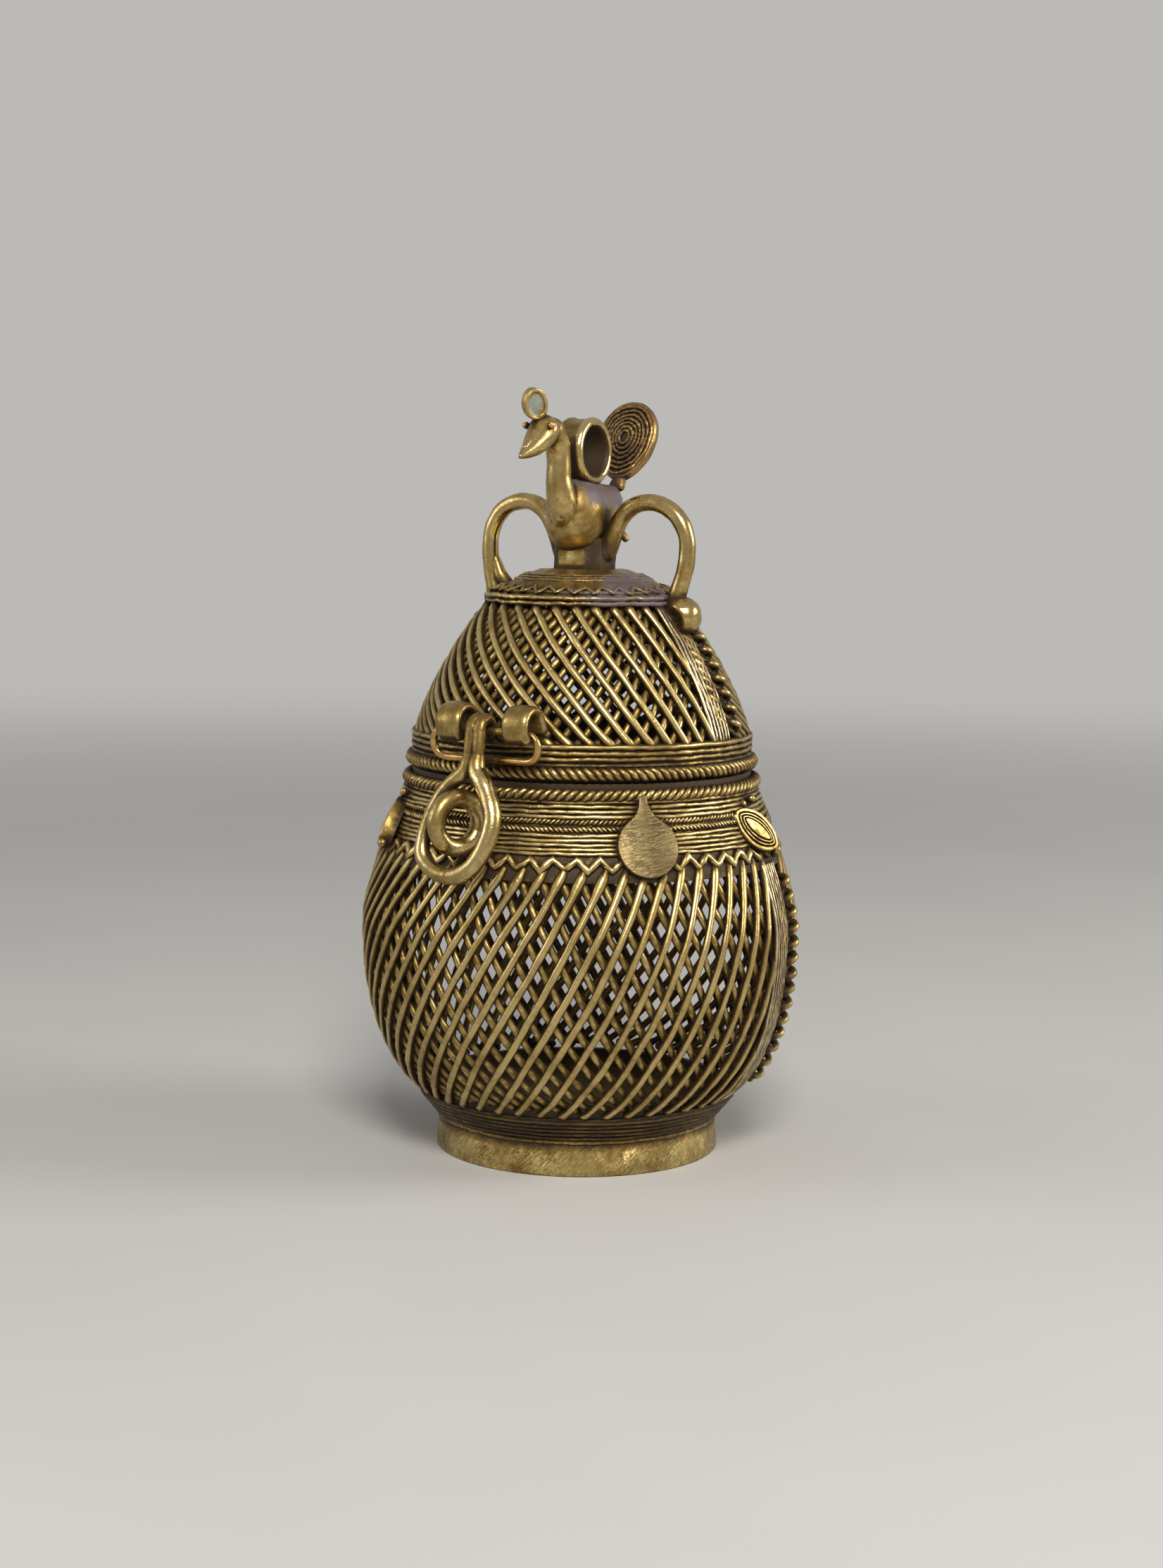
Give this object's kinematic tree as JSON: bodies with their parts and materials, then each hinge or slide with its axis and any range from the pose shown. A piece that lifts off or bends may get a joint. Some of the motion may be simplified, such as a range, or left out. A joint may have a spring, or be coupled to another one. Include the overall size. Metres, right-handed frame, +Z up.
{
  "type": "coconut box",
  "caption": "Coconut-shaped cast brass box of open wire lattice with a hinged lid, front hasp and staple, ring foot, loop handles and a bird finial that carries a hanging ring.",
  "frame": {"origin": "middle of the foot's bottom face", "axes": "+Z up along the box's axis, -Y to the front where the hasp is, +Y to the hinge, +X to the box's left as it faces out, where the handle with the ball is"},
  "size_m": [0.0916, 0.0952, 0.1551],
  "materials": {
    "antique_brass": "cast, dark patina in the hollows, worn bright on the raised wires",
    "filed_brass": "filed bright, with crossed file marks",
    "worn_brass": "worn smooth by hands, grey-brown in the hollows",
    "wire_brass": "drawn wire, smooth",
    "pale_brass": "pale, oxidised, polished on its edge"
  },
  "bodies": {
    "base": {"foot_ring": "filed_brass", "foot_ridge": "antique_brass", "base_dish": "antique_brass", "underside_threads": "antique_brass", "body_lattice_outer": "antique_brass", "body_lattice_inner": "antique_brass", "body_rib_strips": "antique_brass", "body_rib_coils": "antique_brass", "collar_wall": "antique_brass", "collar_wave_wire": "antique_brass", "collar_lower_threads": "antique_brass", "collar_plait_ring": "antique_brass", "collar_upper_threads": "antique_brass", "body_rim": "antique_brass", "body_rope": "antique_brass", "gate_disc": "filed_brass", "petal_plates": "antique_brass", "petal_beads": "antique_brass", "hasp_staple": "worn_brass", "hinge_lugs": "antique_brass", "hinge_pin": "wire_brass"},
    "lid": {"lid_knuckle": "antique_brass", "lid_rim_wall": "antique_brass", "lid_rope": "antique_brass", "lid_threads": "antique_brass", "lid_lattice_outer": "antique_brass", "lid_lattice_inner": "antique_brass", "lid_rib_strips": "antique_brass", "lid_rib_coils": "antique_brass", "cap": "antique_brass", "cap_threads": "antique_brass", "cap_wave_wire": "antique_brass", "pedestal": "antique_brass", "handle_right": "antique_brass", "handle_left": "antique_brass", "handle_ball": "antique_brass", "handle_beads": "antique_brass", "bird_body": "antique_brass", "bird_neck": "antique_brass", "bird_head": "antique_brass", "bird_beak": "antique_brass", "bird_eyes": "antique_brass", "bird_crest": "pale_brass", "bird_back_ring": "antique_brass", "bird_tail_fan": "antique_brass", "tail_fan_ridges": "antique_brass", "hasp_lug_right": "worn_brass", "hasp_lug_left": "worn_brass", "hasp_pin_wire": "wire_brass"},
    "hasp": {"hasp_eye": "worn_brass", "hasp_loop": "worn_brass"}
  },
  "joints": [
    {"name": "lid_hinge", "type": "hinge", "parent": "base", "child": "lid", "pos_m": [0, 0.0391, 0.079], "axis": [-1, 0, 0], "range_deg": [0, 110]},
    {"name": "hasp_swing", "type": "hinge", "parent": "lid", "child": "hasp", "pos_m": [0, -0.0385, 0.0888], "axis": [-1, 0, 0], "range_deg": [0, 140]}
  ]
}
